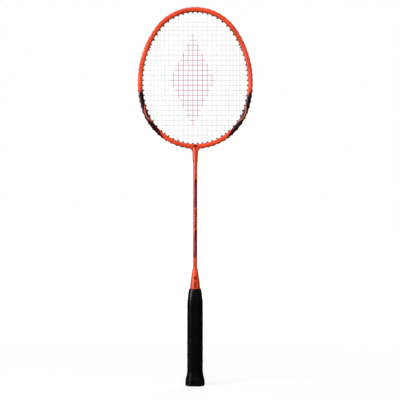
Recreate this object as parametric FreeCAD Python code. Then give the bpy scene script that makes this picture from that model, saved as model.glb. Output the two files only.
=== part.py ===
"""A badminton racket: strung metal head, moulded T joint, steel shaft, cone cap and a wrapped wooden handle.

Millimetres. The origin is the middle of the butt's flat end. +Z runs up the racket to the top of the head,
+X runs across the head and +Y is normal to the string bed. The two strings lie side by side, the mains behind
(+Y) and the crosses in front (-Y), so each one is a clean solid with its whole route and they never overlap.
"""
import FreeCAD, Part
import math
import os

# ---- overall
RACKET_LENGTH = 665.0

# ---- head outline: three tangent arcs a side, radii to the outer edge, clockwise from the top
OUTER_RADII = (86.3, 164.9, 98.3)
TOP_TURN = math.radians(54.6)

# ---- head tube section: "width" is in the plane of the head, "depth" is along Y
TUBE_WIDTH = 8.0
TUBE_DEPTH = 10.0
TUBE_WALL = 0.8
OUTER_CORNER = 2.4
INNER_CORNER = 3.2
CAVITY_OUTER_CORNER = 1.4
GROOVE_FLOOR = 2.8
GROOVE_FLOOR_HALF = 2.1
CAVITY_OUTSIDE = GROOVE_FLOOR - TUBE_WALL
TUBE_END_GAP = 0.4

# ---- strings
STRING_RADIUS = 0.35
MAINS_Y = 0.36
CROSSES_Y = -0.36
INNER_MAINS = 6
INNER_MAIN_PITCH = 8.45
OUTER_MAINS = 5
OUTER_MAIN_PITCH = 6.45
FIRST_CROSS_Z = 639.2
TOP_CROSS_STEPS = (7.7, 7.6, 7.5)
CROSS_PITCH = 8.85
CROSSES = 24
SHARED_HOLE_GAP = 4.55
CROSS_PULL = 0.85
BED_EDGE_OFFSET = -5.6
MOUTH_OFFSET = -6.3
GROOVE_STRING_OFFSET = 3.8
MOUTH_ROOM = 0.7
GROOVE_ROOM = 1.0
GROOVE_BEND_ROOM = 2.0
SHARPEST_UNROUNDED_TURN = 0.002
TAIL_LENGTH = 5.6
KNOT_START = 2.0
KNOT_COILS = 3
KNOT_COIL_RADIUS = 1.08
KNOT_COIL_PITCH = 0.686

# ---- grommets
BARREL_RADIUS = {1: 1.4, 2: 1.7}
BARREL_BORE = {1: 0.95, 2: 1.1}
FLANGE_RADIUS = {1: 2.0, 2: 2.08}
STRING_SEAT_OFFSET = 3.3
STRING_SEAT_HALF = 0.78
UPPER_FLANGE_TOP = 4.5
LOWER_FLANGE_TOP = 4.85
FIRST_LOWER_FLANGE = 21
BARREL_END_OFFSET = -5.9
TOP_HOLES = 6
UPPER_SHOULDER_HOLES = 13
SIDE_HOLES = 25
LOWER_SHOULDER_HOLES = 30
MAINS_TIE_HOLE = 25
CROSS_TOP_TIE_HOLE = 4
CROSS_LOW_TIE_HOLE = 33

# ---- T joint
SLEEVE_BOTTOM_Z = 392.8
SLEEVE_BOTTOM_RADIUS = 4.3
SLEEVE_TOP_RADIUS = 5.3
SLEEVE_BEVEL_WIDTH = 0.4
SLEEVE_BEVEL_HEIGHT = 0.6
SADDLE_HEIGHT = 2.6
FLARE_RADIUS = 7.8
FLARE_START_RADIUS = 4.9
FLARE_OVERLAP = 0.4
FLARE_HALF_DEPTH = 4.0
TENON_HALF_WIDTH = 2.0
TENON_HALF_DEPTH = 1.8
TENON_DEPTH_BELOW = 2.0
ARM_LENGTH = 25.0
ARM_CLEARANCE = 0.1
STRING_TUNNEL_TOP = 5.05

# ---- shaft
SHAFT_RADIUS = 3.5
SHAFT_WALL = 0.6
SHAFT_TOP_Z = 412.0
SHAFT_BOTTOM_Z = 84.0

# ---- cone cap
CONE_TOP_Z = 205.8
CONE_TOP_RADIUS = 4.45
CONE_TOP_BEVEL_WIDTH = 0.2
CONE_TOP_BEVEL_HEIGHT = 0.4
CONE_BEND_Z = 180.7
CONE_BEND_RADIUS = 8.0
CONE_LIP_RADIUS = 9.05
CONE_LIP_HEIGHT = 1.2
CONE_LIP_RECESS = 0.35
NOSE_TOP_Z = 190.0
NOSE_TOP_RADIUS = 4.6
NOSE_BASE_RADIUS = 6.6

# ---- handle: half sizes of the wrapped grip's octagon at its straight part
HANDLE_TOP_Z = 170.4
GRIP_HALF_X = 13.3
GRIP_HALF_Y = 12.1
GRIP_HALF_DIAGONAL = 14.1
GRIP_THICKNESS = 1.8
TAPER_START_Z = 140.0
TAPER_DROP = 3.3
FLARE_TOP_Z = 28.0
FLARE_BOTTOM_Z = 4.0
FLARE_OUT = 3.7
TAPE_BOTTOM_Z = 151.0
TAPE_PROUD = 0.15
BUTT_CAP_HEIGHT = 3.2
BUTT_CAP_ROUNDING = 2.4

FAR = 60.0
CUT_ROOM = 1.0
HALF_WIDTH = TUBE_WIDTH / 2
HALF_DEPTH = TUBE_DEPTH / 2
Y_AXIS = FreeCAD.Vector(0, 1, 0)
Z_AXIS = FreeCAD.Vector(0, 0, 1)


def vec(x, y, z):
    return FreeCAD.Vector(x, y, z)


def line(start, end):
    return Part.LineSegment(start, end).toShape()


def arc(start, middle, end):
    return Part.Arc(start, middle, end).toShape()


def arc_about(centre, radius, start_deg, end_deg):
    """An arc in the XZ plane, angles measured from +X towards +Z."""
    def at(degrees):
        angle = math.radians(degrees)
        return vec(centre.x + radius * math.cos(angle), centre.y, centre.z + radius * math.sin(angle))

    return arc(at(start_deg), at((start_deg + end_deg) / 2), at(end_deg))


def turned_solid(points):
    """A solid of revolution about Z from (radius, z) points joined by straight lines."""
    corners = [vec(radius, 0, z) for radius, z in points]
    return Part.Face(Part.makePolygon(corners + corners[:1])).revolve(vec(0, 0, 0), Z_AXIS, 360)


def round_bar(radius, bottom, top):
    return Part.makeCylinder(radius, top - bottom, vec(0, 0, bottom), Z_AXIS)


def box_between(low, high):
    size = high - low
    return Part.makeBox(size.x, size.y, size.z, low)


# ---- the head's centreline

def head_arcs():
    """(centre, centreline radius, start angle, turn) clockwise from the top for the right half."""
    first, second, third = OUTER_RADII
    both = math.pi - math.asin((second - first) * math.sin(TOP_TURN) / (second - third))
    centre_1 = vec(0, 0, RACKET_LENGTH - first)
    centre_2 = centre_1 + vec(math.sin(TOP_TURN), 0, math.cos(TOP_TURN)) * (first - second)
    centre_3 = centre_2 + vec(math.sin(both), 0, math.cos(both)) * (second - third)
    centre_3.x = 0
    return (
        (centre_1, first - HALF_WIDTH, 0.0, TOP_TURN),
        (centre_2, second - HALF_WIDTH, TOP_TURN, both - TOP_TURN),
        (centre_3, third - HALF_WIDTH, both, math.pi - both),
    )


ARCS = head_arcs()
HALF_RUN = sum(radius * turn for _, radius, _, turn in ARCS)


def head_place(run, offset, side=1):
    """The point at a run along the centreline from the top, moved outwards, and the outward normal."""
    left = run
    for centre, radius, start, turn in ARCS:
        if left <= radius * turn:
            break
        left -= radius * turn
    angle = start + left / radius
    normal = vec(math.sin(angle), 0, math.cos(angle))
    point = centre + normal * (radius + offset)
    return vec(side * point.x, 0, point.z), vec(side * normal.x, 0, normal.z)


def solve(wanted, low, high):
    """The run where wanted changes sign."""
    for _ in range(50):
        middle = (low + high) / 2
        if (wanted(low) > 0) == (wanted(middle) > 0):
            low = middle
        else:
            high = middle
    return (low + high) / 2


# ---- string holes

def main_positions():
    inner = [INNER_MAIN_PITCH * (i + 0.5) for i in range(INNER_MAINS)]
    outer = [inner[-1] + OUTER_MAIN_PITCH * (i + 1) for i in range(OUTER_MAINS)]
    return inner + outer


def cross_heights():
    heights = [FIRST_CROSS_Z]
    for step in TOP_CROSS_STEPS:
        heights.append(heights[-1] - step)
    while len(heights) < CROSSES:
        heights.append(heights[-1] - CROSS_PITCH)
    return heights


def widest_run():
    """The run to the head's widest place, where the outward normal is level."""
    (_, top_radius, _, top_turn), (_, side_radius, _, _), _ = ARCS
    return top_radius * top_turn + side_radius * (math.pi / 2 - top_turn)


def run_to_x(x, low, high):
    return solve(lambda run: head_place(run, BED_EDGE_OFFSET)[0].x - x, low, high)


def run_to_z(z):
    return solve(lambda run: head_place(run, BED_EDGE_OFFSET)[0].z - z, 0, HALF_RUN)


def hole_plan():
    """One side's holes from the top: (run, [(kind, index), ...]).

    A main and a cross that end near each other share one hole, nearer to the cross's own place.
    """
    widest = widest_run()
    ends = [(run_to_z(z), ("cross", j)) for j, z in enumerate(cross_heights())]
    for i, x in enumerate(main_positions()):
        ends.append((run_to_x(x, 0, widest), ("main_top", i)))
        ends.append((run_to_x(x, widest, HALF_RUN), ("main_low", i)))
    holes = []
    for run, end in sorted(ends):
        before, sharing = holes[-1] if holes else (-FAR, [])
        differs = len(sharing) == 1 and sharing[0][0] != end[0]
        if differs and run - before < SHARED_HOLE_GAP:
            pull = CROSS_PULL if end[0] == "cross" else 1 - CROSS_PULL
            holes[-1] = (before + pull * (run - before), sharing + [end])
        else:
            holes.append((run, [end]))
    return holes


HOLES = hole_plan()
HOLE_OF = {end: number for number, (_, ends) in enumerate(HOLES, 1) for end in ends}
TIE_HOLES = {(MAINS_TIE_HOLE, 1), (MAINS_TIE_HOLE, -1), (CROSS_TOP_TIE_HOLE, -1), (CROSS_LOW_TIE_HOLE, -1)}


def strings_in(number, side):
    return min(2, len(HOLES[number - 1][1]) + ((number, side) in TIE_HOLES))


def hole_drill(number, side, radius, inner, outer):
    start, normal = head_place(HOLES[number - 1][0], inner, side)
    return Part.makeCylinder(radius, outer - inner, start, normal)


def tube_drills(first, last):
    """Drills through the tube, the size of the barrels, for holes first to last on both sides."""
    drills = []
    for number in range(first, last + 1):
        for side in (1, -1):
            radius = BARREL_RADIUS[strings_in(number, side)]
            drills.append(hole_drill(number, side, radius, -HALF_WIDTH - CUT_ROOM, HALF_WIDTH + CUT_ROOM))
    return drills


# ---- the head tube

def section_wire(half_depth, inside, outside, inner_corner, outer_corner, grooved=False):
    """A rounded box section as a wire, across the top of a circle of radius 0: z is the outward offset."""
    low_y = half_depth - inner_corner
    high_y = half_depth - outer_corner
    low_z = inside + inner_corner
    high_z = outside - outer_corner
    slant = math.sqrt(0.5)

    def side(sign):
        return [
            line(vec(0, 0, inside), vec(0, sign * low_y, inside)),
            arc(
                vec(0, sign * low_y, inside),
                vec(0, sign * (low_y + inner_corner * slant), low_z - inner_corner * slant),
                vec(0, sign * half_depth, low_z),
            ),
            line(vec(0, sign * half_depth, low_z), vec(0, sign * half_depth, high_z)),
            arc(
                vec(0, sign * half_depth, high_z),
                vec(0, sign * (high_y + outer_corner * slant), high_z + outer_corner * slant),
                vec(0, sign * high_y, outside),
            ),
        ] + top(sign)

    def top(sign):
        edge = vec(0, sign * high_y, outside)
        if not grooved:
            return [line(edge, vec(0, 0, outside))]
        foot = vec(0, sign * GROOVE_FLOOR_HALF, GROOVE_FLOOR)
        return [line(edge, foot), line(foot, vec(0, 0, GROOVE_FLOOR))]

    return Part.Wire(Part.__sortEdges__(side(1) + side(-1)))


def swept(wire, centre, radius, start, turn):
    """The section inside a wire, carried round one arc of the head."""
    face = Part.Face(wire)
    face.translate(vec(centre.x, 0, centre.z + radius))
    face.rotate(centre, Y_AXIS, math.degrees(start))
    return face.revolve(centre, Y_AXIS, math.degrees(turn))


def swept_head(wire):
    """The section carried round the whole head."""
    top, top_radius, _, top_turn = ARCS[0]
    side, side_radius, start, turn = ARCS[1]
    low, low_radius, low_start, low_turn = ARCS[2]
    mirrored = vec(-side.x, 0, side.z)
    pieces = [
        swept(wire, top, top_radius, -top_turn, 2 * top_turn),
        swept(wire, side, side_radius, start, turn),
        swept(wire, low, low_radius, low_start, 2 * low_turn),
        swept(wire, mirrored, side_radius, -start - turn, turn),
    ]
    return pieces[0].fuse(pieces[1:]).removeSplitter()


def swept_bottom(wire, half_length):
    """The section carried along the bottom arc only, half_length each way from the middle."""
    centre, radius, _, _ = ARCS[2]
    half_turn = half_length / radius
    return swept(wire, centre, radius, math.pi - half_turn, 2 * half_turn)


def cavity_wire(clearance=0.0):
    return section_wire(
        HALF_DEPTH - TUBE_WALL - clearance,
        TUBE_WALL - HALF_WIDTH + clearance,
        CAVITY_OUTSIDE - clearance,
        INNER_CORNER - TUBE_WALL,
        CAVITY_OUTER_CORNER,
    )


def tube_wire(grooved):
    return section_wire(HALF_DEPTH, -HALF_WIDTH, HALF_WIDTH, INNER_CORNER, OUTER_CORNER, grooved)


BOTTOM_Z = ARCS[2][0].z - OUTER_RADII[2]


def tenon():
    """The block that goes up through the groove's floor into the tube."""
    return box_between(
        vec(-TENON_HALF_WIDTH, -TENON_HALF_DEPTH, BOTTOM_Z - TENON_DEPTH_BELOW),
        vec(TENON_HALF_WIDTH, TENON_HALF_DEPTH, BOTTOM_Z + HALF_WIDTH),
    )


def head_frame():
    half_gap = TUBE_END_GAP / 2
    seam = box_between(
        vec(-half_gap, -FAR, BOTTOM_Z - CUT_ROOM), vec(half_gap, FAR, BOTTOM_Z + TUBE_WIDTH + CUT_ROOM)
    )
    tube = swept_head(tube_wire(True)).cut(swept_head(cavity_wire()))
    return tube.cut(tube_drills(1, len(HOLES)) + [seam, tenon()])


# ---- the T joint

def flare():
    """The trumpet that spreads from the sleeve to the underside of the head, cut flat in front and behind."""
    top = BOTTOM_Z + SADDLE_HEIGHT
    reach = FLARE_START_RADIUS + FLARE_RADIUS
    low = BOTTOM_Z + FLARE_OVERLAP - FLARE_RADIUS
    edges = [
        arc_about(vec(reach, 0, low), FLARE_RADIUS, 180, 90),
        line(vec(reach, 0, low + FLARE_RADIUS), vec(reach, 0, top)),
        line(vec(reach, 0, top), vec(0, 0, top)),
        line(vec(0, 0, top), vec(0, 0, low)),
        line(vec(0, 0, low), vec(FLARE_START_RADIUS, 0, low)),
    ]
    trumpet = Part.Face(Part.Wire(Part.__sortEdges__(edges))).revolve(vec(0, 0, 0), Z_AXIS, 360)
    slab = box_between(
        vec(-FAR, -FLARE_HALF_DEPTH, low - CUT_ROOM), vec(FAR, FLARE_HALF_DEPTH, top + CUT_ROOM)
    )
    return trumpet.common(slab)


def t_joint():
    sleeve = turned_solid([
        (0, SLEEVE_BOTTOM_Z),
        (SLEEVE_BOTTOM_RADIUS - SLEEVE_BEVEL_WIDTH, SLEEVE_BOTTOM_Z),
        (SLEEVE_BOTTOM_RADIUS, SLEEVE_BOTTOM_Z + SLEEVE_BEVEL_HEIGHT),
        (SLEEVE_TOP_RADIUS, BOTTOM_Z + SADDLE_HEIGHT),
        (0, BOTTOM_Z + SADDLE_HEIGHT),
    ])
    saddle = sleeve.fuse(flare()).cut(swept_bottom(tube_wire(False), ARM_LENGTH))
    centre, radius, _, _ = ARCS[2]
    tunnel = Part.makeCylinder(
        radius + STRING_TUNNEL_TOP, 2 * GROOVE_FLOOR_HALF, centre - Y_AXIS * GROOVE_FLOOR_HALF, Y_AXIS
    )
    arms = swept_bottom(cavity_wire(ARM_CLEARANCE), ARM_LENGTH)
    joint = saddle.cut(tunnel).fuse([arms, tenon()])
    bore = round_bar(SHAFT_RADIUS, SLEEVE_BOTTOM_Z - CUT_ROOM, SHAFT_TOP_Z)
    return joint.cut(tube_drills(LOWER_SHOULDER_HOLES + 1, len(HOLES)) + [bore]).removeSplitter()


# ---- grommets

def grommet(number, side):
    """A barrel through the tube and a head in the groove, slotted for the string that lies across it."""
    strings = strings_in(number, side)
    top = UPPER_FLANGE_TOP if number < FIRST_LOWER_FLANGE else LOWER_FLANGE_TOP
    barrel = hole_drill(number, side, BARREL_RADIUS[strings], BARREL_END_OFFSET, GROOVE_FLOOR)
    flange = hole_drill(number, side, FLANGE_RADIUS[strings], GROOVE_FLOOR, top)
    bore = hole_drill(number, side, BARREL_BORE[strings], BARREL_END_OFFSET - CUT_ROOM, top + CUT_ROOM)
    slot = box_between(
        vec(-HALF_WIDTH, -STRING_SEAT_HALF, STRING_SEAT_OFFSET),
        vec(HALF_WIDTH, STRING_SEAT_HALF, top + CUT_ROOM),
    )
    centre, normal = head_place(HOLES[number - 1][0], 0, side)
    slot.rotate(vec(0, 0, 0), Y_AXIS, math.degrees(math.atan2(normal.x, normal.z)))
    slot.translate(centre)
    return barrel.fuse(flange).cut([bore, slot]).removeSplitter()


def grommets(first, last, sides):
    places = [(number, side) for number in range(first, last + 1) for side in sides]
    return Part.makeCompound([grommet(*place) for place in places if place not in TIE_HOLES])


# ---- strings

def rounded_wire(corners):
    """A flat wire through (point, room) corners, each turned by the largest arc its room allows."""
    edges = []
    start = corners[0][0]
    for (before, _), (here, room), (after, _) in zip(corners, corners[1:], corners[2:]):
        into = (here - before).normalize()
        out = (after - here).normalize()
        turn = into.getAngle(out)
        if turn < SHARPEST_UNROUNDED_TURN:
            continue
        inwards = (out - into).normalize()
        radius = room / math.tan(turn / 2)
        middle = here + inwards * (radius / math.cos(turn / 2) - radius)
        begin = here - into * room
        finish = here + out * room
        edges.append(line(start, begin))
        edges.append(arc(begin, middle, finish))
        start = finish
    edges.append(line(start, corners[-1][0]))
    return Part.Wire(edges)


def string_solid(corners):
    path = rounded_wire(corners)
    first = path.Edges[0]
    begin = first.FirstParameter
    ring = Part.makeCircle(STRING_RADIUS, first.valueAt(begin), first.tangentAt(begin))
    return path.makePipeShell([Part.Wire(ring)], True, False), path.Length


def in_plane(point, y):
    return vec(point.x, y, point.z)


def mouth(number, side, y):
    return in_plane(head_place(HOLES[number - 1][0], MOUTH_OFFSET, side)[0], y), MOUTH_ROOM


def groove(number, side, y, room=GROOVE_ROOM):
    return in_plane(head_place(HOLES[number - 1][0], GROOVE_STRING_OFFSET, side)[0], y), room


def around(start, end, side, y):
    """Corners from inside hole start, along the groove, to inside hole end."""
    step = 1 if end > start else -1
    corners = [mouth(start, side, y), groove(start, side, y)]
    corners += [groove(n, side, y, GROOVE_BEND_ROOM) for n in range(start + step, end, step)]
    return corners + [groove(end, side, y), mouth(end, side, y)]


def tail_point(number, far_number, side, far_side, y):
    """Where a tied-off end stops: beside the run from one hole's mouth to another's."""
    here = mouth(number, side, y)[0]
    there = mouth(far_number, far_side, y)[0]
    return here + (there - here).normalize() * TAIL_LENGTH


def main_holes(i):
    return HOLE_OF[("main_top", i)], HOLE_OF[("main_low", i)]


def half_mains(side):
    """Corners of one half of the main string from its top middle hole to its tied-off end."""
    mains = INNER_MAINS + OUTER_MAINS
    corners = [groove(main_holes(0)[0], side, MAINS_Y), mouth(main_holes(0)[0], side, MAINS_Y)]
    for i in range(mains - 1):
        end = 1 if i % 2 == 0 else 0
        corners += around(main_holes(i)[end], main_holes(i + 1)[end], side, MAINS_Y)
    last = main_holes(mains - 1)[1]
    corners += around(last, MAINS_TIE_HOLE, side, MAINS_Y)
    corners.append((tail_point(MAINS_TIE_HOLE, MAINS_TIE_HOLE, side, -side, MAINS_Y), 0))
    return corners


def main_string():
    return string_solid(half_mains(-1)[::-1] + half_mains(1))


def cross_string():
    holes = [HOLE_OF[("cross", j)] for j in range(CROSSES)]
    top_main = next(i for kind, i in HOLES[CROSS_TOP_TIE_HOLE - 1][1])
    low_main = next(i for kind, i in HOLES[CROSS_LOW_TIE_HOLE - 1][1])
    side = -1
    corners = [(tail_point(CROSS_TOP_TIE_HOLE, main_holes(top_main)[1], side, side, CROSSES_Y), 0)]
    corners += around(CROSS_TOP_TIE_HOLE, holes[0], side, CROSSES_Y)
    for here, below in zip(holes, holes[1:]):
        side = -side
        corners += around(here, below, side, CROSSES_Y)
    side = -side
    corners += around(holes[-1], CROSS_LOW_TIE_HOLE, side, CROSSES_Y)
    corners.append((tail_point(CROSS_LOW_TIE_HOLE, main_holes(low_main)[0], side, side, CROSSES_Y), 0))
    return string_solid(corners)


def knot(number, far_number, side, far_side):
    """Coils of a tied-off end round itself and the string that shares its hole."""
    here = mouth(number, side, 0)[0]
    along = (mouth(far_number, far_side, 0)[0] - here).normalize()
    coils = []
    for k in range(KNOT_COILS):
        centre = here + along * (KNOT_START + k * KNOT_COIL_PITCH)
        coils.append(Part.makeTorus(KNOT_COIL_RADIUS, STRING_RADIUS, centre, along))
    return coils[0].fuse(coils[1:])


def main_string_knots():
    number = MAINS_TIE_HOLE
    return Part.makeCompound([knot(number, number, 1, -1), knot(number, number, -1, 1)])


def cross_string_knots():
    pairs = (CROSS_TOP_TIE_HOLE, 1), (CROSS_LOW_TIE_HOLE, 0)
    made = []
    for number, far_end in pairs:
        main = next(i for kind, i in HOLES[number - 1][1])
        made.append(knot(number, main_holes(main)[far_end], -1, -1))
    return Part.makeCompound(made)


# ---- shaft and cone

def shaft():
    outside = round_bar(SHAFT_RADIUS, SHAFT_BOTTOM_Z, SHAFT_TOP_Z)
    return outside.cut(round_bar(SHAFT_RADIUS - SHAFT_WALL, SHAFT_BOTTOM_Z, SHAFT_TOP_Z))


def cone_cap():
    """A cone that a tangent arc turns to near upright above a small lip."""
    slope = math.atan2(CONE_BEND_RADIUS - CONE_TOP_RADIUS, CONE_TOP_Z - CONE_BEND_Z)
    lip_top = HANDLE_TOP_Z + CONE_LIP_HEIGHT
    bend_radius = (CONE_BEND_Z - lip_top) / math.sin(slope)
    centre = vec(CONE_BEND_RADIUS - bend_radius * math.cos(slope), 0, lip_top)
    start = vec(CONE_BEND_RADIUS, 0, CONE_BEND_Z)
    half = slope / 2
    middle = centre + vec(bend_radius * math.cos(half), 0, bend_radius * math.sin(half))
    end = centre + vec(bend_radius, 0, 0)
    lip = CONE_LIP_RADIUS
    corners = [
        vec(end.x - CONE_LIP_RECESS, 0, lip_top),
        vec(lip, 0, lip_top),
        vec(lip, 0, HANDLE_TOP_Z),
        vec(NOSE_BASE_RADIUS, 0, HANDLE_TOP_Z),
        vec(NOSE_TOP_RADIUS, 0, NOSE_TOP_Z),
        vec(SHAFT_RADIUS, 0, NOSE_TOP_Z),
        vec(SHAFT_RADIUS, 0, CONE_TOP_Z),
        vec(CONE_TOP_RADIUS - CONE_TOP_BEVEL_WIDTH, 0, CONE_TOP_Z),
        vec(CONE_TOP_RADIUS, 0, CONE_TOP_Z - CONE_TOP_BEVEL_HEIGHT),
        start,
    ]
    edges = [arc(start, middle, end), line(end, corners[0])]
    edges += [line(a, b) for a, b in zip(corners, corners[1:])]
    return Part.Face(Part.Wire(edges)).revolve(vec(0, 0, 0), Z_AXIS, 360)


# ---- handle

def slab(half, direction_deg, bottom, top):
    """The space between two opposite faces of the handle, which follow its taper and flare."""
    taper_height = HANDLE_TOP_Z - TAPER_START_Z
    taper_radius = (taper_height ** 2 + TAPER_DROP ** 2) / (2 * TAPER_DROP)
    flare_height = FLARE_TOP_Z - FLARE_BOTTOM_Z
    flare_radius = (flare_height ** 2 + FLARE_OUT ** 2) / (4 * FLARE_OUT)
    flare_turn = math.degrees(math.asin(flare_height / 2 / flare_radius))
    taper_turn = math.degrees(math.asin(taper_height / taper_radius))
    wide = half + FLARE_OUT
    centres = (
        vec(wide - flare_radius, 0, FLARE_BOTTOM_Z),
        vec(half + flare_radius, 0, FLARE_TOP_Z),
        vec(half - taper_radius, 0, TAPER_START_Z),
    )
    right = [
        line(vec(wide, 0, 0), vec(wide, 0, FLARE_BOTTOM_Z)),
        arc_about(centres[0], flare_radius, 0, flare_turn),
        arc_about(centres[1], flare_radius, 180 + flare_turn, 180),
        line(vec(half, 0, FLARE_TOP_Z), vec(half, 0, TAPER_START_Z)),
        arc_about(centres[2], taper_radius, 0, taper_turn),
        line(vec(half - TAPER_DROP, 0, HANDLE_TOP_Z), vec(0, 0, HANDLE_TOP_Z)),
        line(vec(0, 0, HANDLE_TOP_Z), vec(0, 0, 0)),
        line(vec(0, 0, 0), vec(wide, 0, 0)),
    ]
    face = Part.Face(Part.Wire(Part.__sortEdges__(right)))
    face.translate(vec(0, -FAR, 0))
    one = face.extrude(vec(0, 2 * FAR, 0))
    other = one.mirror(vec(0, 0, 0), vec(1, 0, 0))
    both = one.fuse(other).removeSplitter()
    both.rotate(vec(0, 0, 0), Z_AXIS, direction_deg)
    return both.common(box_between(vec(-FAR, -FAR, bottom), vec(FAR, FAR, top)))


def octagon_bar(outwards, bottom, top):
    """The handle's eight-sided shape, its faces moved outwards from the wrapped grip's."""
    bar = slab(GRIP_HALF_X + outwards, 0, bottom, top)
    bar = bar.common(slab(GRIP_HALF_Y + outwards, 90, bottom, top))
    bar = bar.common(slab(GRIP_HALF_DIAGONAL + outwards, 45, bottom, top))
    return bar.common(slab(GRIP_HALF_DIAGONAL + outwards, -45, bottom, top))


def handle_core():
    wood = octagon_bar(-GRIP_THICKNESS, BUTT_CAP_HEIGHT, HANDLE_TOP_Z)
    nose = turned_solid([
        (0, HANDLE_TOP_Z),
        (NOSE_BASE_RADIUS, HANDLE_TOP_Z),
        (NOSE_TOP_RADIUS, NOSE_TOP_Z),
        (0, NOSE_TOP_Z),
    ])
    bore = round_bar(SHAFT_RADIUS, SHAFT_BOTTOM_Z, NOSE_TOP_Z + CUT_ROOM)
    return wood.fuse(nose).cut(bore).removeSplitter()


def sleeve_on_core(outwards, bottom, top):
    core = octagon_bar(-GRIP_THICKNESS, bottom, top)
    return octagon_bar(outwards, bottom, top).cut(core)


def butt_cap():
    cap = octagon_bar(0, 0, BUTT_CAP_HEIGHT)
    rims = [edge for edge in cap.Edges if edge.BoundBox.ZMax < 0.001]
    return cap.makeFillet(BUTT_CAP_ROUNDING, rims)


def save(name, shape):
    shape.exportStep(f"parts/{name}.step")
    kinds = f"{len(shape.Solids)} solids, valid {shape.isValid()}"
    print(f"{name}: {kinds}, {shape.Volume / 1000:.3f} cm3")


def build():
    os.makedirs("parts", exist_ok=True)
    mains, mains_length = main_string()
    crosses, crosses_length = cross_string()
    print(f"{len(HOLES)} holes a side; mains {mains_length:.0f} mm, crosses {crosses_length:.0f} mm")
    save("head_frame", head_frame())
    save("t_joint", t_joint())
    save("shaft", shaft())
    save("cone_cap", cone_cap())
    save("handle_core", handle_core())
    save("grip_wrap", sleeve_on_core(0, BUTT_CAP_HEIGHT, TAPE_BOTTOM_Z))
    save("finishing_tape", sleeve_on_core(TAPE_PROUD, TAPE_BOTTOM_Z, HANDLE_TOP_Z))
    save("butt_cap", butt_cap())
    save("main_string", mains)
    save("cross_string", crosses)
    save("main_string_knots", main_string_knots())
    save("cross_string_knots", cross_string_knots())
    save("grommets_top", grommets(1, TOP_HOLES, (1, -1)))
    save("grommets_throat", grommets(LOWER_SHOULDER_HOLES + 1, len(HOLES), (1, -1)))
    save("grommets_tie_off", Part.makeCompound([grommet(*place) for place in sorted(TIE_HOLES)]))
    for word, side in (("right", 1), ("left", -1)):
        save(f"grommets_upper_{word}", grommets(TOP_HOLES + 1, UPPER_SHOULDER_HOLES, (side,)))
        save(f"grommets_side_{word}", grommets(UPPER_SHOULDER_HOLES + 1, SIDE_HOLES, (side,)))
        save(f"grommets_lower_{word}", grommets(SIDE_HOLES + 1, LOWER_SHOULDER_HOLES, (side,)))


build()
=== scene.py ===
"""Looks for the badminton racket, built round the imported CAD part.

Everything is in metres in the part's own frame: +Z up the racket, +X across the head, -Y the front.
The metal and moulded CAD nodes stay and get painted materials. The strings are cut finer and woven
over and under each other. The grip, its finishing tape and the butt cap are built here with their
wrapping.
"""

import math

import bmesh
import bpy
import numpy as np
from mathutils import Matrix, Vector


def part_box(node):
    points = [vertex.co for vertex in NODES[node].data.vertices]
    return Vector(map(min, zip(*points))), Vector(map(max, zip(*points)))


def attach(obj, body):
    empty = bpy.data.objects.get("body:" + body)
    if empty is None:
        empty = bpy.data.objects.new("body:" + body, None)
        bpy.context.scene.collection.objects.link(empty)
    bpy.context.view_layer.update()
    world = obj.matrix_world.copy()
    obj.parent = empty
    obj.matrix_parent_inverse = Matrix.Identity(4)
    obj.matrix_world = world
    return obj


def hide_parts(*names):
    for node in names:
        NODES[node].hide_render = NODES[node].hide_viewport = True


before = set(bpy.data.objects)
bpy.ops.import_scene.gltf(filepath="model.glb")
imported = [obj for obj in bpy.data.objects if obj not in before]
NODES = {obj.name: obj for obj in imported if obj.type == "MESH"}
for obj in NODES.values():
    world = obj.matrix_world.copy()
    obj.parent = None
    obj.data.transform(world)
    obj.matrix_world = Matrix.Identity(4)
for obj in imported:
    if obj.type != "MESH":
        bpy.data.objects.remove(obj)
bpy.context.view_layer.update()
MM = 0.001
X, Y, Z = 0, 1, 2

# ---- colours, linear
ORANGE = (0.78, 0.060, 0.013)
CONE_ORANGE = (0.80, 0.063, 0.014)
STREAK_ORANGE = (0.50, 0.10, 0.06)
BLACK_PAINT = (0.022, 0.0003, 0.0003)
MAROON = (0.09, 0.0010, 0.0008)
SHAFT_MAROON = (0.24, 0.016, 0.009)
GRIP_BLACK = (0.0016, 0.0016, 0.0020)
GRIP_SCUFFED = (0.0034, 0.0034, 0.0040)
TAPE_BLACK = (0.0016, 0.0016, 0.0020)
TAPE_STRETCHED = (0.0030, 0.0030, 0.0036)
PLASTIC_BLACK = (0.0020, 0.0020, 0.0024)
PLASTIC_WORN = (0.0040, 0.0040, 0.0046)
STRING_WHITE = (0.80, 0.80, 0.78)
STRING_SHADE = (0.74, 0.74, 0.71)
STENCIL_RED = (0.42, 0.006, 0.012)
STENCIL_SHADE = (0.34, 0.005, 0.010)
WOOD_LIGHT = (0.52, 0.34, 0.18)
WOOD_DARK = (0.33, 0.19, 0.09)
FLOOR_GREY = (0.25, 0.25, 0.25)
WHITE = (1, 1, 1, 1)


# ---- material helpers

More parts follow.
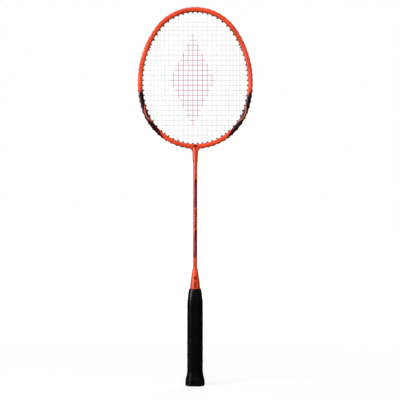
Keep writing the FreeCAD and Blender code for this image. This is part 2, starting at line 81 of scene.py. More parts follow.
class Graph:
    """Builds a material's nodes from Python expressions."""

    def __init__(self, name):
        self.material = bpy.data.materials.new(name)
        self.material.use_nodes = True
        self.nodes = self.material.node_tree.nodes
        self.links = self.material.node_tree.links
        self.shader = self.nodes["Principled BSDF"]
        self.place = self.nodes.new("ShaderNodeTexCoord").outputs["Object"]
        split = self.nodes.new("ShaderNodeSeparateXYZ")
        self.links.new(self.place, split.inputs[0])
        self.x, self.y, self.z = split.outputs

    def put(self, socket, value):
        if isinstance(value, bpy.types.NodeSocket):
            self.links.new(value, socket)
        else:
            socket.default_value = value

    def put_colour(self, socket, colour):
        self.put(socket, (*colour, 1.0) if isinstance(colour, tuple) else colour)

    def math(self, operation, *values):
        node = self.nodes.new("ShaderNodeMath")
        node.operation = operation
        for socket, value in zip(node.inputs, values):
            self.put(socket, value)
        return node.outputs[0]

    def scaled(self, value, factor, offset):
        """value * factor + offset."""
        return self.math("MULTIPLY_ADD", value, factor, offset)

    def length(self, first, second):
        """The length of a flat vector."""
        square = self.math("MULTIPLY_ADD", first, first, self.math("MULTIPLY", second, second))
        return self.math("SQRT", square)

    def ramp(self, value, low, high):
        """0 below low, 1 above high, smooth between."""
        node = self.nodes.new("ShaderNodeMapRange")
        node.interpolation_type = "SMOOTHSTEP"
        for socket, number in zip(node.inputs, (value, low, high)):
            self.put(socket, number)
        return node.outputs[0]

    def inverse(self, mask):
        return self.math("SUBTRACT", 1.0, mask)

    def between(self, value, low, high, soft):
        """1 where value lies between low and high, with edges that are soft by this much each way."""
        above = self.ramp(value, low - soft, low + soft)
        return self.both(above, self.inverse(self.ramp(value, high - soft, high + soft)))

    def beats(self, value, pitch, low, high, soft):
        """Repeats with a pitch, and is 1 between two shares of each beat."""
        return self.between(self.math("FRACT", self.math("DIVIDE", value, pitch)), low, high, soft)

    def chain(self, operation, masks):
        result = masks[0]
        for mask in masks[1:]:
            result = self.math(operation, result, mask)
        return result

    def both(self, *masks):
        """1 where every mask is 1."""
        return self.chain("MULTIPLY", masks)

    def either(self, *masks):
        """1 where any mask is 1."""
        return self.chain("MAXIMUM", masks)

    def front(self):
        return self.math("LESS_THAN", self.y, 0.0)

    def mix(self, factor, first, second):
        node = self.nodes.new("ShaderNodeMix")
        node.data_type = "RGBA"
        self.put(node.inputs[0], factor)
        self.put_colour(node.inputs[6], first)
        self.put_colour(node.inputs[7], second)
        return node.outputs[2]

    def noise(self, scale, detail=3.0, roughness=0.5, stretch=(1, 1, 1)):
        place = self.nodes.new("ShaderNodeMapping")
        self.links.new(self.place, place.inputs["Vector"])
        place.inputs["Scale"].default_value = stretch
        node = self.nodes.new("ShaderNodeTexNoise")
        self.links.new(place.outputs[0], node.inputs["Vector"])
        node.inputs["Scale"].default_value = scale
        node.inputs["Detail"].default_value = detail
        node.inputs["Roughness"].default_value = roughness
        return node.outputs[0]

    def bump(self, height, strength, distance):
        node = self.nodes.new("ShaderNodeBump")
        node.inputs["Strength"].default_value = strength
        node.inputs["Distance"].default_value = distance
        self.links.new(height, node.inputs["Height"])
        self.links.new(node.outputs[0], self.shader.inputs["Normal"])

    def finish(self, colour, roughness, **constants):
        """Sets the shader's sockets, the constants among them by name with _ for a space."""
        self.put_colour(self.shader.inputs["Base Color"], colour)
        self.put(self.shader.inputs["Roughness"], roughness)
        for name, value in constants.items():
            self.shader.inputs[name.replace("_", " ")].default_value = value
        return self.material


def painted(graph, colour):
    """Gloss paint with a little orange peel and fine dust in its roughness."""
    graph.bump(graph.noise(900, detail=2), strength=0.06, distance=0.2 * MM)
    dust = graph.noise(260, detail=4, roughness=0.6)
    return graph.finish(
        colour, graph.scaled(dust, 0.10, 0.13),
        Coat_Weight=0.4, Coat_Roughness=0.06, Specular_IOR_Level=0.5,
    )


def tinted(graph, colour, darkening=0.264):
    """The colour with a slow drift towards a darker shade."""
    darker = tuple(c * (1 - darkening) for c in colour)
    return graph.mix(graph.ramp(graph.noise(35), 0.35, 0.75), colour, darker)


# ---- the head's shape, for its paint: three arcs a side, by the radii of their outer edges

TUBE_WIDTH = 8.0 * MM
TOP_RADIUS = 86.3 * MM
SIDE_RADIUS = 164.9 * MM
LOW_RADIUS = 98.3 * MM
TOP_TURN = math.radians(54.6)
BOTH_TURNS = math.pi - math.asin(
    (SIDE_RADIUS - TOP_RADIUS) * math.sin(TOP_TURN) / (SIDE_RADIUS - LOW_RADIUS)
)
HEAD_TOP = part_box("head_frame")[1].z
TOP_CENTRE_Z = HEAD_TOP - TOP_RADIUS
SIDE_CENTRE_X = (TOP_RADIUS - SIDE_RADIUS) * math.sin(TOP_TURN)
SIDE_CENTRE_Z = TOP_CENTRE_Z + (TOP_RADIUS - SIDE_RADIUS) * math.cos(TOP_TURN)
LOW_CENTRE_Z = SIDE_CENTRE_Z + (SIDE_RADIUS - LOW_RADIUS) * math.cos(BOTH_TURNS)
SIDE_END_Z = SIDE_CENTRE_Z + SIDE_RADIUS * math.cos(BOTH_TURNS)
HEAD_BOTTOM = LOW_CENTRE_Z - LOW_RADIUS

# ---- the head's paint. Places along it are degrees round BAND_CENTRE_Z from the lowest point.
# A slant is in degrees for each metre outwards. BY_SIDE numbers count + at the right, - at the left.
# The streak's half length is in STREAK_UNITs of degrees, and it bows inwards towards its ends.

BAND_CENTRE_Z = 525 * MM
BAND_TOP = (82.0, 87.5)
BAND_TOP_SLANT = -290.0
BAND_TOP_SLANT_BY_SIDE = -910.0
BAND_TOP_SHIFT_BY_SIDE = 0.8
BAND_LOW = (34.0, 36.5)
BAND_MAROON = (37.0, 43.0)
BAND_LOW_SLANT = 1500.0
STREAK_MIDDLE = 60.5
STREAK_UNIT = 8.5
STREAK_HALF_LENGTH = 1.25
STREAK_OUTWARDS = 0.9 * MM
STREAK_BOW = -3.6 * MM
STREAK_HALF_WIDTH = 1.1 * MM
STREAK_FADE = (-0.2 * MM, 0.3 * MM)
HEAD_DASH_X = (-3.0 * MM, 3.0 * MM)
HEAD_DASH_Z = (HEAD_BOTTOM + 2.6 * MM, HEAD_BOTTOM + 6.2 * MM)
PRINT_EDGE = 0.2 * MM


def ring_place(graph):
    """Degrees round the head from its lowest point, and the distance out from the tube's middle."""
    wide = graph.math("ABSOLUTE", graph.x)

    def outwards(centre_x, centre_z, outer_radius):
        aside = graph.math("SUBTRACT", wide, centre_x)
        above = graph.math("SUBTRACT", graph.z, centre_z)
        return graph.math("SUBTRACT", graph.length(aside, above), outer_radius - TUBE_WIDTH / 2)

    side = outwards(SIDE_CENTRE_X, SIDE_CENTRE_Z, SIDE_RADIUS)
    low = outwards(0.0, LOW_CENTRE_Z, LOW_RADIUS)
    on_side = graph.math("GREATER_THAN", graph.z, SIDE_END_Z)
    across = graph.scaled(on_side, graph.math("SUBTRACT", side, low), low)
    drop = graph.math("SUBTRACT", BAND_CENTRE_Z, graph.z)
    degrees = graph.math("MULTIPLY", graph.math("ARCTAN2", wide, drop), 180 / math.pi)
    return degrees, across


def head_paint():
    """Orange, with a dark band and an orange streak on each lower side and a dash at the bottom."""
    graph = Graph("head_paint")
    degrees, across = ring_place(graph)
    side = graph.math("SIGN", graph.x)
    top_slant = graph.scaled(side, BAND_TOP_SLANT_BY_SIDE, BAND_TOP_SLANT)
    top_place = graph.scaled(across, top_slant, graph.scaled(side, BAND_TOP_SHIFT_BY_SIDE, degrees))
    low_place = graph.scaled(across, BAND_LOW_SLANT, degrees)
    band = graph.both(
        graph.inverse(graph.ramp(top_place, *BAND_TOP)),
        graph.ramp(low_place, *BAND_LOW),
    )
    maroon_end = graph.inverse(graph.ramp(low_place, *BAND_MAROON))
    share = graph.math("DIVIDE", graph.math("SUBTRACT", degrees, STREAK_MIDDLE), STREAK_UNIT)
    bow = graph.scaled(graph.math("MULTIPLY", share, share), STREAK_BOW, STREAK_OUTWARDS)
    off = graph.math("ABSOLUTE", graph.math("SUBTRACT", across, bow))
    streak = graph.both(
        graph.ramp(graph.math("SUBTRACT", STREAK_HALF_WIDTH, off), *STREAK_FADE),
        graph.between(share, -STREAK_HALF_LENGTH, STREAK_HALF_LENGTH, soft=0.1),
    )
    dash = graph.both(
        graph.between(graph.x, *HEAD_DASH_X, PRINT_EDGE),
        graph.between(graph.z, *HEAD_DASH_Z, PRINT_EDGE),
        graph.front(),
    )
    dark = graph.mix(maroon_end, BLACK_PAINT, MAROON)
    banded = graph.mix(band, tinted(graph, ORANGE), dark)
    streaked = graph.mix(graph.both(streak, band), banded, STREAK_ORANGE)
    return painted(graph, graph.mix(dash, streaked, MAROON))


def joint_paint():
    graph = Graph("joint_paint")
    return painted(graph, tinted(graph, ORANGE))


# ---- the shaft's print. A strip is its low end, its high end, the left edge there, and how far that
# edge moves left for each metre down.

UPPER_STRIP = (313 * MM, 363 * MM, -0.7 * MM, 0.047)
LOWER_STRIP = (225 * MM, 274 * MM, -0.5 * MM, 0.085)
STRIP_SIDE_EDGE = 0.3 * MM
STRIP_END_EDGE = 0.4 * MM
STRIP_DARK_FROM = 26 * MM
STRIP_DARK_FULL = 4 * MM
DASHES_Z = (277 * MM, 310 * MM)
DASHES_X = (-1.2 * MM, 2.4 * MM)
DASH_PITCH = 5.0 * MM
DASH_SHARE = (0.12, 0.82)
BEAT_EDGE = 0.04
MARKS_Z = ((365.0 * MM, 366.7 * MM), (368.5 * MM, 370.2 * MM))
MARKS_X = (-1.8 * MM, 1.8 * MM)


def shaft_paint():
    """Orange with two dark strips, plain dashes between them, and two short marks above."""
    graph = Graph("shaft_paint")

    def strip(low, high, left_edge, widening):
        """A strip that widens to the left on its way down, and the dark end at its top."""
        edge = graph.scaled(graph.z, widening, left_edge - widening * high)
        past_edge = graph.math("SUBTRACT", graph.x, edge)
        inside = graph.both(
            graph.ramp(past_edge, -STRIP_SIDE_EDGE, STRIP_SIDE_EDGE),
            graph.between(graph.z, low, high, STRIP_END_EDGE),
        )
        dark = graph.ramp(graph.z, high - STRIP_DARK_FROM, high - STRIP_DARK_FULL)
        return inside, graph.both(inside, dark)

    upper, upper_dark = strip(*UPPER_STRIP)
    lower, lower_dark = strip(*LOWER_STRIP)
    dashes = graph.both(
        graph.between(graph.z, *DASHES_Z, soft=0.3 * MM),
        graph.beats(graph.z, DASH_PITCH, *DASH_SHARE, BEAT_EDGE),
        graph.between(graph.x, *DASHES_X, PRINT_EDGE),
    )
    marks = graph.both(
        graph.either(*(graph.between(graph.z, *ends, PRINT_EDGE) for ends in MARKS_Z)),
        graph.between(graph.x, *MARKS_X, PRINT_EDGE),
    )
    ink = graph.mix(graph.either(upper_dark, lower_dark), SHAFT_MAROON, MAROON)
    printed = graph.both(graph.front(), graph.either(upper, lower, dashes, marks))
    return painted(graph, graph.mix(printed, tinted(graph, ORANGE), ink))


# ---- the cone's print: a column of short bars with a block above them

CONE_PRINT_X = (-2.0 * MM, 1.6 * MM)
CONE_BARS_Z = (172.6 * MM, 183.6 * MM)
CONE_BAR_PITCH = 2.8 * MM
CONE_BAR_SHARE = (0.08, 0.9)
CONE_BLOCK_Z = (186.2 * MM, 192.6 * MM)


def cone_paint():
    """Orange moulding with plain marks on its front."""
    graph = Graph("cone_paint")
    bars = graph.both(
        graph.between(graph.z, *CONE_BARS_Z, PRINT_EDGE),
        graph.beats(graph.z, CONE_BAR_PITCH, *CONE_BAR_SHARE, BEAT_EDGE),
    )
    block = graph.between(graph.z, *CONE_BLOCK_Z, soft=0.3 * MM)
    narrow = graph.between(graph.x, *CONE_PRINT_X, PRINT_EDGE)
    printed = graph.both(graph.front(), narrow, graph.either(bars, block))
    graph.bump(graph.noise(500, detail=2), strength=0.05, distance=0.2 * MM)
    colour = graph.mix(printed, tinted(graph, CONE_ORANGE, darkening=0.176), MAROON)
    roughness = graph.scaled(graph.noise(180), 0.15, 0.24)
    return graph.finish(colour, roughness, Coat_Weight=0.2, Coat_Roughness=0.12)


def black_plastic(name, roughness):
    """Satin moulding, a little greyer where it is worn."""
    graph = Graph(name)
    worn = graph.ramp(graph.noise(400), 0.4, 0.8)
    graph.bump(graph.noise(1500, detail=2), strength=0.08, distance=0.1 * MM)
    varied = graph.scaled(graph.noise(300), 0.2, roughness - 0.1)
    colour = graph.mix(worn, PLASTIC_BLACK, PLASTIC_WORN)
    return graph.finish(colour, varied, Specular_IOR_Level=0.3)


STRING_TWIST = 9000.0


def string_plastic(name, colour, shade):
    """Nylon with a fine twisted wrap, STRING_TWIST radians of it to each metre."""
    graph = Graph(name)
    turned = graph.math("MULTIPLY", graph.math("ADD", graph.x, graph.z), STRING_TWIST)
    graph.bump(graph.math("SINE", turned), strength=0.1, distance=0.03 * MM)
    varied = graph.mix(graph.ramp(graph.noise(120, detail=2), 0.3, 0.8), colour, shade)
    return graph.finish(varied, 0.34, Specular_IOR_Level=0.5)


def grip_rubber():
    """Soft black wrap with a fine leathery grain."""
    graph = Graph("grip_soft_wrap")
    coarse = graph.math("MULTIPLY", graph.noise(420, detail=2), 0.6)
    grain = graph.math("ADD", graph.noise(1400, roughness=0.6), coarse)
    graph.bump(grain, strength=0.16, distance=0.3 * MM)
    scuffed = graph.ramp(graph.noise(30, detail=5, roughness=0.65), 0.45, 0.8)
    colour = graph.mix(scuffed, GRIP_BLACK, GRIP_SCUFFED)
    return graph.finish(colour, graph.scaled(scuffed, 0.1, 0.30), Specular_IOR_Level=0.20)


def tape_film():
    """Shiny film with faint stretch lines round it."""
    graph = Graph("finishing_tape_film")
    lines = graph.noise(220, stretch=(1, 1, 7))
    graph.bump(lines, strength=0.10, distance=0.2 * MM)
    colour = graph.mix(graph.ramp(lines, 0.3, 0.7), TAPE_BLACK, TAPE_STRETCHED)
    return graph.finish(colour, graph.scaled(lines, 0.14, 0.18), Specular_IOR_Level=0.35)


def bare_wood():
    """Pale wood with its grain along the handle."""
    graph = Graph("bare_wood")
    grain = graph.noise(60, detail=5, roughness=0.6, stretch=(6, 6, 0.5))
    graph.bump(grain, strength=0.15, distance=0.2 * MM)
    return graph.finish(graph.mix(graph.ramp(grain, 0.3, 0.7), WOOD_LIGHT, WOOD_DARK), 0.6)


# ---- mesh helpers

def new_piece(name, mesh, slot, replaced, *materials):
    piece = bpy.data.objects.new(name, mesh)
    bpy.context.scene.collection.objects.link(piece)
    for material in materials:
        mesh.materials.append(material)
    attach(piece, "root")
    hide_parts(*replaced)


def write_smooth(work, mesh):
    """Turns every face outwards, makes it smooth and writes it all to the mesh."""
    bmesh.ops.recalc_face_normals(work, faces=work.faces)
    for face in work.faces:
        face.smooth = True
    work.to_mesh(mesh)
    work.free()


def closed_mesh(name, rings):
    """A closed smooth mesh through rings of points, the last of them joined to the first."""
    count = len(rings[0])
    faces = []
    for k in range(len(rings)):
        here, there = k * count, (k + 1) % len(rings) * count
        for i in range(count):
            j = (i + 1) % count
            faces.append((here + i, here + j, there + j, there + i))
    mesh = bpy.data.meshes.new(name)
    mesh.from_pydata(np.concatenate(rings).tolist(), [], faces)
    work = bmesh.new()
    work.from_mesh(mesh)
    write_smooth(work, mesh)
    return mesh


# ---- the woven strings. A run is one straight stretch between two holes, and WEAVE is how far it
# moves each way in Y where it passes another string.

WEAVE = 0.36 * MM
CUTS_PER_CROSSING = 4
LONG_RUN = 20 * MM
RUNS_APART = 2 * MM
SIDEWAYS_LIMIT = 0.01 * MM
MERGE_DISTANCE = 0.001 * MM
SMALLEST_STEP = 0.15 * MM


class Run:
    """One straight run of a string: the CAD mesh's edges along it, in order round the string."""

    def __init__(self, pairs, along, across):
        self.along, self.across = along, across
        lows = np.array([low.co for low, _ in pairs])
        highs = np.array([high.co for _, high in pairs])
        sideways = highs - lows - (highs.mean(0) - lows.mean(0))
        straight = np.linalg.norm(sideways, axis=1) < SIDEWAYS_LIMIT
        self.low, self.high = lows[straight].mean(0), highs[straight].mean(0)
        turned = np.arctan2(lows[:, Y] - self.low[Y], lows[:, across] - self.low[across])
        order = [k for k in np.argsort(turned) if straight[k]]
        self.pairs = [pairs[k] for k in order]
        self.lows, self.highs = lows[order], highs[order]

    def share(self, value):
        """How far along the run a value is, from 0 to 1."""
        return (value - self.low[self.along]) / (self.high[self.along] - self.low[self.along])

    def beside(self, value):
        """Where the run is across the head, at a value along it."""
        width = self.high[self.across] - self.low[self.across]
        return self.low[self.across] + self.share(value) * width


def straight_runs(work, along, across):
    """The string's straight runs in order across the head, and the faces that they have now."""
    pairs = []
    faces = set()
    for edge in work.edges:
        if edge.calc_length() > LONG_RUN:
            pairs.append(sorted(edge.verts, key=lambda vert: vert.co[along]))
            faces.update(edge.link_faces)
    middles = np.array([(low.co[across] + high.co[across]) / 2 for low, high in pairs])
    order = np.argsort(middles)
    groups = np.split(order, np.nonzero(np.diff(middles[order]) > RUNS_APART)[0] + 1)
    return [Run([pairs[k] for k in group], along, across) for group in groups], list(faces)


def crossings(run, others):
    """(value along the run, number of the other run) for each run that crosses it.

    Runs lean a little, so the place where two cross is closed in on.
    """
    found = []
    for number, other in enumerate(others):
        value = other.beside(run.low[run.across])
        for _ in range(3):
            value = other.beside(run.beside(value))
        if 0 < run.share(value) < 1 and 0 < other.share(run.beside(value)) < 1:
            found.append((value, number))
    return sorted(found)


def weave_heights(values, met, sign, flat):
    """Y along a run: it passes its crossings in front and behind in turn, and ends flat."""
    places = [value for value, _ in met]
    gap = places[1] - places[0]
    places = np.array([places[0] - gap, *places, places[-1] + gap])
    levels = np.array([flat, *(sign * WEAVE * (-1) ** number for _, number in met), flat])
    k = np.clip(np.searchsorted(places, values) - 1, 0, len(places) - 2)
    share = np.clip((values - places[k]) / (places[k + 1] - places[k]), 0, 1)
    ease = (1 - np.cos(np.pi * share)) / 2
    return levels[k] + (levels[k + 1] - levels[k]) * ease


# ---- the red stencil: one plain upright diamond

STENCIL_X = -5 * MM
STENCIL_Z = 537 * MM
STENCIL_HALF_WIDTH = 40 * MM
STENCIL_HALF_HEIGHT = 81 * MM


def in_stencil(x, z):
    aside = abs(x - STENCIL_X) / STENCIL_HALF_WIDTH
    return aside + abs(z - STENCIL_Z) / STENCIL_HALF_HEIGHT < 1


def stencil_edges(run):
    """Values along a run where the ink starts and stops, if the run meets the diamond."""
    if run.along == Z:
        middle, reach = STENCIL_Z, STENCIL_HALF_HEIGHT
        aside = abs(run.low[X] - STENCIL_X) / STENCIL_HALF_WIDTH
    else:
        middle, reach = STENCIL_X, STENCIL_HALF_WIDTH
        aside = abs(run.low[Z] - STENCIL_Z) / STENCIL_HALF_HEIGHT
    if aside >= 1:
        return []
    return [middle - reach * (1 - aside), middle + reach * (1 - aside)]


def ring_values(run, met):
    """Values along a run where it gets a ring of points: between crossings and at ink edges."""
    places = [value for value, _ in met]
    places = [2 * places[0] - places[1], *places, 2 * places[-1] - places[-2]]
    values = [
        low + (high - low) * k / CUTS_PER_CROSSING
        for low, high in zip(places, places[1:])
        for k in range(CUTS_PER_CROSSING)
    ]
    values = np.array(sorted(values + places[-1:] + stencil_edges(run)))
    apart = np.append(True, np.diff(values) > SMALLEST_STEP)
    room = SMALLEST_STEP / (run.high[run.along] - run.low[run.along])
    return values[apart & (run.share(values) > room) & (run.share(values) < 1 - room)]


def weave_run(work, run, met, sign):
    """Fills the gap left by a run's own faces with rings of points that follow the weave."""
    values = ring_values(run, met)
    heights = weave_heights(values, met, sign, run.low[Y]) - run.low[Y]
    rings = [[low for low, _ in run.pairs]]
    for share, height in zip(run.share(values), heights):
        ring = run.lows + share * (run.highs - run.lows) + [0, height, 0]
        rings.append([work.verts.new(point) for point in ring])
    rings.append([high for _, high in run.pairs])
    ends = [run.low[run.along], *values, run.high[run.along]]
    for k, (near, far) in enumerate(zip(rings, rings[1:])):
        place = [0, 0, 0]
        place[run.along] = (ends[k] + ends[k + 1]) / 2
        place[run.across] = run.beside(place[run.along])
        inked = int(in_stencil(place[X], place[Z]))
        for i in range(len(near)):
            face = work.faces.new((near[i - 1], near[i], far[i], far[i - 1]))
            face.material_index = inked


def string_work(node):
    work = bmesh.new()
    work.from_mesh(NODES[node].data)
    bmesh.ops.remove_doubles(work, verts=work.verts, dist=MERGE_DISTANCE)
    return work


def woven_string(name, node, other_node, along, across, sign, materials):
    """The CAD string with its straight runs moved in Y so that it weaves through the other one."""
    other_work = string_work(other_node)
    others, _ = straight_runs(other_work, across, along)
    work = string_work(node)
    runs, faces = straight_runs(work, along, across)
    bmesh.ops.delete(work, geom=faces, context="FACES")
    for number, run in enumerate(runs):
        weave_run(work, run, crossings(run, others), sign * (-1) ** number)
    mesh = bpy.data.meshes.new(name)
    write_smooth(work, mesh)
    other_work.free()
    new_piece(name, mesh, "string_white", [node], *materials)


def build_strings():
    white = string_plastic("string_nylon", STRING_WHITE, STRING_SHADE)
    red = string_plastic("stencil_ink", STENCIL_RED, STENCIL_SHADE)
    inks = (white, red)
    woven_string("woven_main_string", "main_string", "cross_string", Z, X, 1, inks)
    woven_string("woven_cross_string", "cross_string", "main_string", X, Z, -1, inks)


# ---- the handle: an octagon, by half its width across each pair of faces and where those faces look.
# SOFT_BULK is how far the wrap stands proud of the CAD. A higher SHARPNESS gives sharper corners.

GRIP_HALVES = (13.3 * MM, 12.1 * MM, 14.1 * MM, 14.1 * MM)
GRIP_FACES = tuple(math.radians(d) for d in (0, 90, 45, 135))
GRIP_THICKNESS = 1.8 * MM
INSIDE = 0.05 * MM - GRIP_THICKNESS
TAPER_START_Z = 140 * MM
TAPER_DROP = 3.3 * MM
FLARE_TOP_Z = 28 * MM
FLARE_BOTTOM_Z = 4 * MM
FLARE_OUT = 3.7 * MM
SOFT_BULK = 0.35 * MM
HANDLE_TOP_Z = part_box("finishing_tape")[1].z
TAPE_BOTTOM_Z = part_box("finishing_tape")[0].z
CAP_TOP_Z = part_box("butt_cap")[1].z
EDGE_SHARPNESS = 16
TOP_SHARPNESS = 4
ROUND_COUNT = 144
ROUND_ANGLES = np.linspace(0, 2 * math.pi, ROUND_COUNT, endpoint=False)


def smooth(value, low, high):
    """0 below low, 1 above high, smooth between."""
    share = np.clip((value - low) / (high - low), 0, 1)
    return share * share * (3 - 2 * share)


def fall(radius, run):
    """How far an arc falls away from its tangent over a run along that."""
    return radius - np.sqrt(radius ** 2 - run ** 2)


def spread(z):
    """How far the grip's faces stand out or in from its straight part."""
    z = np.asarray(z, float)
    height = HANDLE_TOP_Z - TAPER_START_Z
    radius = (height ** 2 + TAPER_DROP ** 2) / (2 * TAPER_DROP)
    taper = fall(radius, np.clip(z - TAPER_START_Z, 0, height))
    flare_height = FLARE_TOP_Z - FLARE_BOTTOM_Z
    half_way = flare_height / 2
    flare_radius = (flare_height ** 2 + FLARE_OUT ** 2) / (4 * FLARE_OUT)
    down = np.clip(FLARE_TOP_Z - z, 0, flare_height)
    upper = fall(flare_radius, np.minimum(down, half_way))
    lower = FLARE_OUT - fall(flare_radius, np.minimum(flare_height - down, half_way))
    bulk = SOFT_BULK * smooth(z, FLARE_BOTTOM_Z, FLARE_TOP_Z)
    return np.where(down < half_way, upper, lower) - taper + bulk


def reach(z, angles):
    """Distance from the middle to the octagon's side, with corners rounder towards its top."""
    rounder = smooth(z, TAPER_START_Z, HANDLE_TOP_Z)
    sharpness = EDGE_SHARPNESS + (TOP_SHARPNESS - EDGE_SHARPNESS) * rounder
    total = 0
    for half, face in zip(GRIP_HALVES, GRIP_FACES):
        total = total + (np.abs(np.cos(angles - face)) / (half + spread(z))) ** sharpness
    return total ** (-1 / sharpness)


def ring(z, outwards):
    """Points of the octagon at height z, moved outwards by a number or an array."""
    angles = ROUND_ANGLES
    widen = (GRIP_HALVES[0] + spread(z)) / reach(z, 0.0)
    radius = reach(z, angles) * widen + outwards
    heights = np.broadcast_to(z, angles.shape)
    return np.stack([radius * np.cos(angles), radius * np.sin(angles), heights], -1)


# ---- the grip's wrap. A share is of one turn, from its lower edge up.

WRAP_PITCH = 21 * MM
WRAP_STEP = 0.14 * MM
WRAP_EDGE_SHARE = 0.02
WRAP_SETTLED_SHARE = 0.42
WRAP_DIP = 0.05 * MM
WRAP_DIP_SHARE = 0.86
WAVE_HEIGHT = 0.04 * MM
WAVE_LENGTHS = (7 * MM, 5.3 * MM)
WRAP_FADE = 2 * MM
WRAP_UNDER_TAPE = 1 * MM
GRIP_RING_STEP = 0.35 * MM
GRIP_TOP_LAP = 0.2 * MM
GRIP_LIFT = 0.1 * MM
GRIP_INNER_EVERY = 8
FOLD_DEPTH = 0.35 * MM
FOLD_Z = 16.2 * MM
FOLD_WIDTH = 1.4 * MM


def wrap_relief(z, angles):
    """Height of the wrap: each turn's edge stands on the turn below and settles as it goes up."""
    turn = (z / WRAP_PITCH - angles / (2 * math.pi)) % 1.0
    step = WRAP_STEP * (1 - smooth(turn, WRAP_EDGE_SHARE, WRAP_SETTLED_SHARE))
    step = step * smooth(turn, 0.0, WRAP_EDGE_SHARE)
    dip = -WRAP_DIP * smooth(turn, WRAP_DIP_SHARE, 1.0)
    slow, fast = WAVE_LENGTHS
    wave = WAVE_HEIGHT * np.sin(angles * 3 + z / slow) * np.sin(z / fast + angles)
    fade = smooth(z, CAP_TOP_Z, CAP_TOP_Z + WRAP_FADE)
    fade = fade * smooth(TAPE_BOTTOM_Z - z, -WRAP_UNDER_TAPE, WRAP_FADE)
    return (step + dip + wave) * fade


def build_grip():
    """The wrapped sleeve, with a fold round it where it turns out over the flare."""
    rings = []
    heights = np.arange(CAP_TOP_Z, TAPE_BOTTOM_Z + GRIP_TOP_LAP, GRIP_RING_STEP)
    for z in heights:
        fold = -FOLD_DEPTH * math.exp(-((z - FOLD_Z) / FOLD_WIDTH) ** 2)
        rings.append(ring(z, wrap_relief(z, ROUND_ANGLES) + fold + GRIP_LIFT))
    rings += [ring(z, INSIDE) for z in heights[::-GRIP_INNER_EVERY]]
    mesh = closed_mesh("grip_wrap_turns", rings)
    new_piece("grip_wrap_turns", mesh, "grip_black", ["grip_wrap"], grip_rubber())


# ---- the finishing tape. A level is a share of its height.

TAPE_RING_STEP = 0.3 * MM
TAPE_SET_IN = 0.05 * MM
TAPE_LAP = 0.16 * MM
TAPE_LAP_LEVEL = 0.35
TAPE_LAP_SWING = 0.12
TAPE_LAP_TURN = 0.6
TAPE_LAP_EDGE = 0.02
TAPE_RIPPLE = 0.05 * MM
TAPE_RIPPLE_LENGTH = 0.9 * MM
TAPE_LIFT = 0.12 * MM
TAPE_LIFT_LEVEL = 0.06
TAPE_TOP_INSET = 0.5 * MM
TAPE_INNER_EVERY = 10


def build_tape():
    """Film wound twice round the grip's end, with ripples, a lap and a lifted lower edge."""
    heights = np.arange(TAPE_BOTTOM_Z, HANDLE_TOP_Z, TAPE_RING_STEP)
    rings = []
    for z in heights:
        level = (z - TAPE_BOTTOM_Z) / (HANDLE_TOP_Z - TAPE_BOTTOM_Z)
        seam = TAPE_LAP_LEVEL + TAPE_LAP_SWING * np.sin(ROUND_ANGLES + TAPE_LAP_TURN)
        lap = TAPE_LAP * smooth(level - seam, 0, TAPE_LAP_EDGE)
        ripple = TAPE_RIPPLE * np.sin(z / TAPE_RIPPLE_LENGTH + 2 * np.sin(ROUND_ANGLES))
        lift = TAPE_LIFT * (1 - smooth(level, 0.0, TAPE_LIFT_LEVEL))
        rings.append(ring(z, lap + ripple + lift - TAPE_SET_IN))
    rings.append(ring(HANDLE_TOP_Z, -TAPE_TOP_INSET))
    inner_heights = (HANDLE_TOP_Z, *heights[::-TAPE_INNER_EVERY], TAPE_BOTTOM_Z)
    rings += [ring(z, INSIDE) for z in inner_heights]
    mesh = closed_mesh("finishing_tape_turns", rings)
    new_piece("finishing_tape_turns", mesh, "tape_black", ["finishing_tape"], tape_film())


# ---- the butt cap. Its end is (share of the rim's size, height) from the rim to the middle.

CAP_ROUNDING = 2.4 * MM
CAP_ROUNDING_STEPS = 12
CAP_TOP_BEVEL = 0.2 * MM
CAP_END = (
    (0.93, 0.0),
    (0.9, 0.25 * MM),
    (0.86, 0.5 * MM),
    (0.5, 0.5 * MM),
    (0.47, 0.3 * MM),
    (0.43, 0.3 * MM),
    (0.4, 0.5 * MM),
)
CAP_MIDDLE_SHARE = 0.01


def shrunk(points, share, z):
    """The ring drawn in towards the middle, at height z."""
    return points * [share, share, 0] + [0, 0, z]


def build_butt_cap():
    """A moulded cap with a rounded rim, a shallow dished end and a raised inner ring."""
    rings = [ring(CAP_TOP_Z, -CAP_TOP_BEVEL), ring(CAP_TOP_Z - CAP_TOP_BEVEL, 0.0)]
    for k in range(1, CAP_ROUNDING_STEPS + 1):
        turn = math.pi / 2 * k / CAP_ROUNDING_STEPS
        rise, inset = 1 - math.sin(turn), 1 - math.cos(turn)
        rings.append(ring(CAP_ROUNDING * rise, -CAP_ROUNDING * inset))
    rim = ring(0.0, -CAP_ROUNDING)
    rings += [shrunk(rim, share, z) for share, z in CAP_END]
    last = rings[-1]
    rings += [shrunk(last, CAP_MIDDLE_SHARE, z) for z in (CAP_END[-1][1], CAP_TOP_Z)]
    mesh = closed_mesh("butt_cap_moulding", rings)
    plastic = black_plastic("butt_plastic", 0.4)
    new_piece("butt_cap_moulding", mesh, "butt_black", ["butt_cap"], plastic)


# ---- CAD nodes that stay

def dress_nodes():
    """Gives every CAD node its material. Those not named here are grommets, knots or replaced."""
    grommet = black_plastic("grommet_nylon", 0.6)
    white = string_plastic("knot_nylon", STRING_WHITE, STRING_SHADE)
    looks = {
        "head_frame": head_paint(),
        "t_joint": joint_paint(),
        "shaft": shaft_paint(),
        "cone_cap": cone_paint(),
        "handle_core": bare_wood(),
    }
    for name, node in NODES.items():
        material = looks.get(name) or (grommet if name.startswith("grommets") else white)
        for place in node.material_slots:
            place.material = material


# ---- the stage

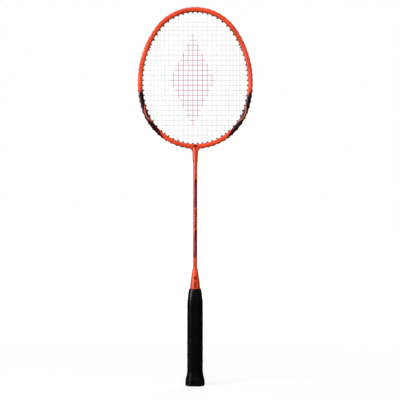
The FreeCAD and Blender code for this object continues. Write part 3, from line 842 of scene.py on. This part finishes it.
FLOOR_HALF = 6.0
FLOOR_GLOW = 0.76
FLOOR_EXTRA_GLOW = 0.25
FLOOR_EXTRA_FROM = 0.3
FLOOR_EXTRA_FULL = 2.5
WORLD_SEEN = 1.0
WORLD_LIGHT = 0.06

# name, azimuth and elevation in degrees, distance, width, height, watts, whether gloss reflects it
SOFTBOXES = (
    ("key", -52, 18, 1.6, 0.8, 1.4, 18, True),
    ("top", -10, 60, 1.8, 1.6, 0.8, 9, True),
    ("fill", -5, 20, 2.4, 1.8, 1.6, 39, False),
    ("back", 165, 25, 2.4, 1.8, 1.6, 40, False),
)

CAMERA_DISTANCE = 2.3
CAMERA_ROLL = math.radians(-0.05)
SENSOR_WIDTH = 36
PICTURE_HEIGHT = 703.4 * MM
PICTURE_X = 8.5 * MM
PICTURE_Z = 326.2 * MM


def build_floor():
    """A pale floor that glows a little, more so further off, so that it meets the white behind."""
    low, high = -FLOOR_HALF, FLOOR_HALF
    corners = [(low, low, 0), (high, low, 0), (high, high, 0), (low, high, 0)]
    mesh = bpy.data.meshes.new("floor")
    mesh.from_pydata(corners, [], [(0, 1, 2, 3)])
    floor = bpy.data.objects.new("floor", mesh)
    bpy.context.scene.collection.objects.link(floor)
    graph = Graph("pale_floor")
    far = graph.ramp(graph.length(graph.x, graph.y), FLOOR_EXTRA_FROM, FLOOR_EXTRA_FULL)
    glow = graph.scaled(far, FLOOR_EXTRA_GLOW, FLOOR_GLOW)
    graph.put(graph.shader.inputs["Emission Strength"], glow)
    pale = graph.finish(FLOOR_GREY, 0.9, Specular_IOR_Level=0.1, Emission_Color=WHITE)
    mesh.materials.append(pale)
    floor.visible_diffuse = False
    floor.visible_glossy = False


def background(nodes, strength):
    node = nodes.new("ShaderNodeBackground")
    node.inputs["Color"].default_value = WHITE
    node.inputs["Strength"].default_value = strength
    return node.outputs[0]


def build_world():
    """White where the camera sees it, and dim as a light."""
    world = bpy.data.worlds.new("white_studio")
    bpy.context.scene.world = world
    world.use_nodes = True
    nodes = world.node_tree.nodes
    links = world.node_tree.links
    choose = nodes.new("ShaderNodeMixShader")
    seen = nodes.new("ShaderNodeLightPath").outputs["Is Camera Ray"]
    links.new(seen, choose.inputs[0])
    links.new(background(nodes, WORLD_LIGHT), choose.inputs[1])
    links.new(background(nodes, WORLD_SEEN), choose.inputs[2])
    links.new(choose.outputs[0], nodes["World Output"].inputs["Surface"])


def softbox(name, azimuth, elevation, distance, width, height, watts, in_gloss):
    """An area light that faces the racket's middle. Azimuth 0 is in front and grows towards +X."""
    data = bpy.data.lights.new(name, "AREA")
    data.shape = "RECTANGLE"
    data.size = width
    data.size_y = height
    data.energy = watts
    light = bpy.data.objects.new(name, data)
    bpy.context.scene.collection.objects.link(light)
    a, e = math.radians(azimuth), math.radians(elevation)
    towards = Vector((math.sin(a) * math.cos(e), -math.cos(a) * math.cos(e), math.sin(e)))
    light.location = Vector((0, 0, HEAD_TOP / 2)) + distance * towards
    light.rotation_euler = (-towards).to_track_quat("-Z", "Y").to_euler()
    light.visible_glossy = in_gloss


def build_camera():
    """Level, at the middle of the picture, far enough off for the photograph's perspective."""
    data = bpy.data.cameras.new("camera")
    camera = bpy.data.objects.new("camera", data)
    bpy.context.scene.collection.objects.link(camera)
    data.sensor_width = SENSOR_WIDTH
    data.lens = SENSOR_WIDTH * CAMERA_DISTANCE / PICTURE_HEIGHT
    camera.location = (PICTURE_X, -CAMERA_DISTANCE, PICTURE_Z)
    camera.rotation_euler = (math.pi / 2, CAMERA_ROLL, 0)
    bpy.context.scene.camera = camera


build_camera()
build_strings()
build_grip()
build_tape()
build_butt_cap()
dress_nodes()
build_floor()
build_world()
for row in SOFTBOXES:
    softbox(*row)
bpy.context.scene.view_settings.view_transform = "Standard"
